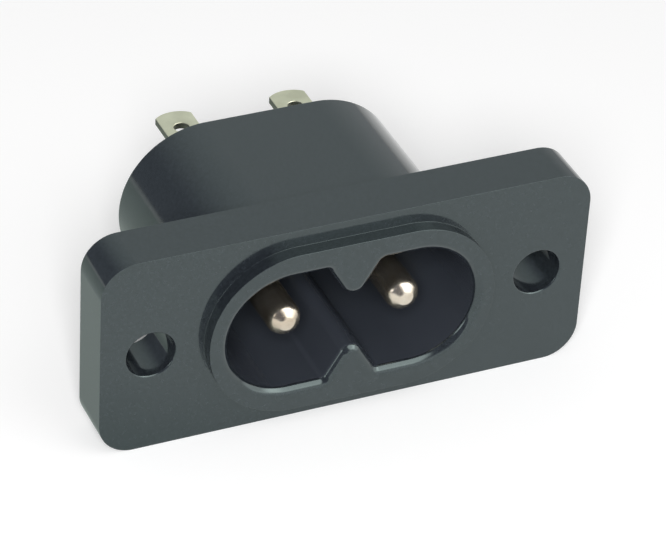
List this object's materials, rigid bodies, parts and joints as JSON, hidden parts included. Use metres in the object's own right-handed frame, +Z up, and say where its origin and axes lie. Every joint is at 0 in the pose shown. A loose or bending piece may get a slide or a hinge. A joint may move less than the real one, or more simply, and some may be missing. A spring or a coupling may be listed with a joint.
{
  "type": "panel power inlet",
  "caption": "Panel-mount mains inlet: flanged black moulding with a figure-eight socket, round contact pins, screw holes in the flange and bent solder lugs behind.",
  "frame": {"origin": "midway between the two screw holes, on the flange's rear face that lies on the panel", "axes": "+X along the flange through both screw holes, +Y back through the panel, +Z up, on the side where the solder lugs are"},
  "size_m": [0.0352, 0.0226, 0.015],
  "materials": {
    "housing_plastic": "semi-gloss moulded black",
    "pin_metal": "bright nickel plate",
    "terminal_metal": "satin tin plate"
  },
  "bodies": {
    "root": {"housing": "housing_plastic", "contact_pin_left": "pin_metal", "contact_pin_right": "pin_metal", "solder_terminal_left": "terminal_metal", "solder_terminal_right": "terminal_metal"}
  },
  "joints": []
}
